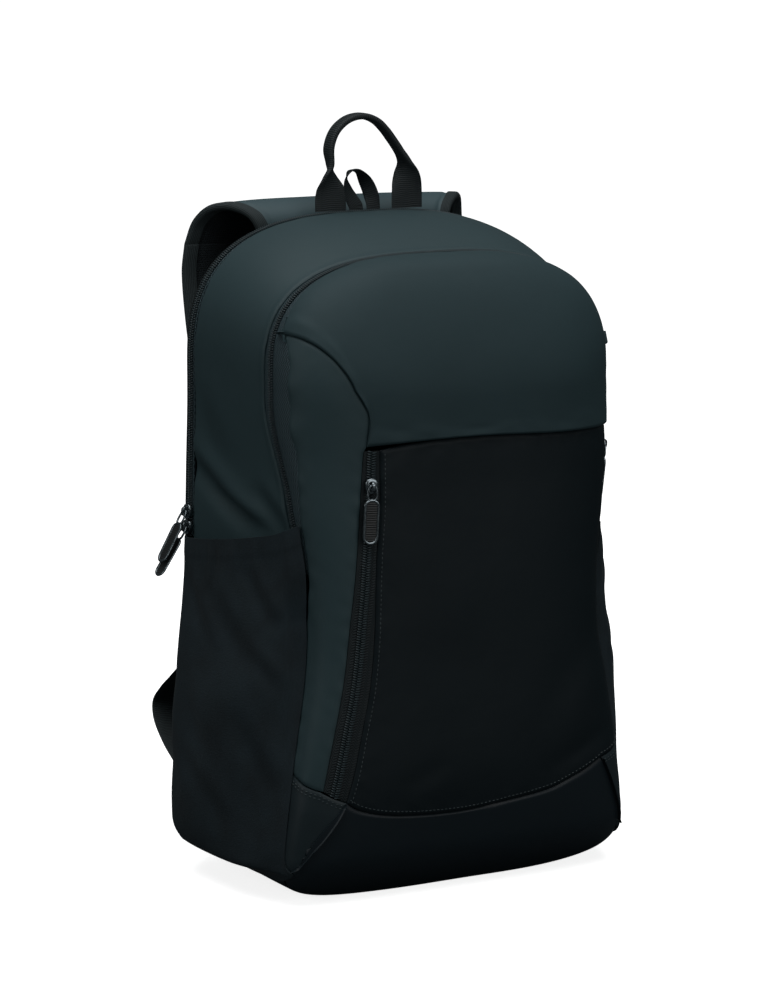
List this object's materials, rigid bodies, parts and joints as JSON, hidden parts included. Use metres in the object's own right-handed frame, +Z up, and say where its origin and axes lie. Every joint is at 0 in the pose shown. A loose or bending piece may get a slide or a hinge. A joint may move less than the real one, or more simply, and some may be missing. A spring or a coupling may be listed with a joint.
{
  "type": "laptop backpack",
  "caption": "Slim laptop backpack with a domed zipped front, a front pocket with a side zip, stretch side pockets, a webbing grab handle and padded shoulder straps.",
  "frame": {"origin": "middle of the flat base, on the floor", "axes": "+Z up, -Y towards the front, +X towards the viewer's right as seen from the front"},
  "size_m": [0.3367, 0.2388, 0.5409],
  "materials": {
    "coated_shell": "smooth polyurethane-coated polyester with a soft sheen",
    "gloss_shell": "smoother, glossier coated fabric",
    "stretch_knit": "stretch knit with a fine crosswise grain",
    "spacer_mesh": "black spacer mesh over foam",
    "webbing": "woven webbing",
    "zip_tape": "woven zip tape with a nylon coil",
    "black_plastic": "fine-grained black plastic",
    "gunmetal": "polished dark nickel plate on die-cast zinc"
  },
  "bodies": {
    "bag": {"back_panel": "spacer_mesh", "main_gusset": "coated_shell", "rear_zip": "zip_tape", "front_zip": "zip_tape", "hood_panel": "coated_shell", "side_strip": "coated_shell", "pocket_zip": "zip_tape", "front_pocket": "coated_shell", "bumper": "gloss_shell", "base_panel": "gloss_shell", "strap_yoke": "spacer_mesh", "grab_handle": "webbing", "hang_loop": "webbing", "wedge_left": "coated_shell", "wedge_right": "coated_shell", "side_pocket_left": "stretch_knit", "side_pocket_right": "stretch_knit", "shoulder_strap_left": "spacer_mesh", "shoulder_strap_right": "spacer_mesh", "strap_web_left": "webbing", "strap_web_right": "webbing", "strap_buckle_left": "black_plastic", "strap_buckle_right": "black_plastic", "anchor_left": "coated_shell", "anchor_right": "coated_shell", "slider_pocket": "gunmetal", "slider_rear_upper": "gunmetal", "slider_rear_lower": "gunmetal", "slider_front": "gunmetal"},
    "puller_pocket": {"puller_pocket": "gunmetal"},
    "puller_rear_upper": {"puller_rear_upper": "gunmetal"},
    "puller_rear_lower": {"puller_rear_lower": "gunmetal"},
    "puller_front": {"puller_front": "gunmetal"}
  },
  "joints": [
    {"name": "swing_pocket", "type": "hinge", "parent": "bag", "child": "puller_pocket", "pos_m": [-0.07866, -0.08541, 0.2979], "axis": [-0.9887, 0.1395, 0.0557], "range_deg": [0, 140]},
    {"name": "swing_rear_upper", "type": "hinge", "parent": "bag", "child": "puller_rear_upper", "pos_m": [-0.14752, 0.07105, 0.26178], "axis": [-0.1146, 0.9934, 0], "range_deg": [0, 95]},
    {"name": "swing_rear_lower", "type": "hinge", "parent": "bag", "child": "puller_rear_lower", "pos_m": [-0.1477, 0.07092, 0.25038], "axis": [-0.1271, 0.9919, 0], "range_deg": [0, 95]},
    {"name": "swing_front", "type": "hinge", "parent": "bag", "child": "puller_front", "pos_m": [0.12994, -0.0479, 0.3065], "axis": [-0.098, -0.9952, 0], "range_deg": [0, 140]}
  ],
  "couplings": [
    {"joint": "swing_rear_lower", "follows": "swing_rear_upper", "ratio": 1}
  ]
}
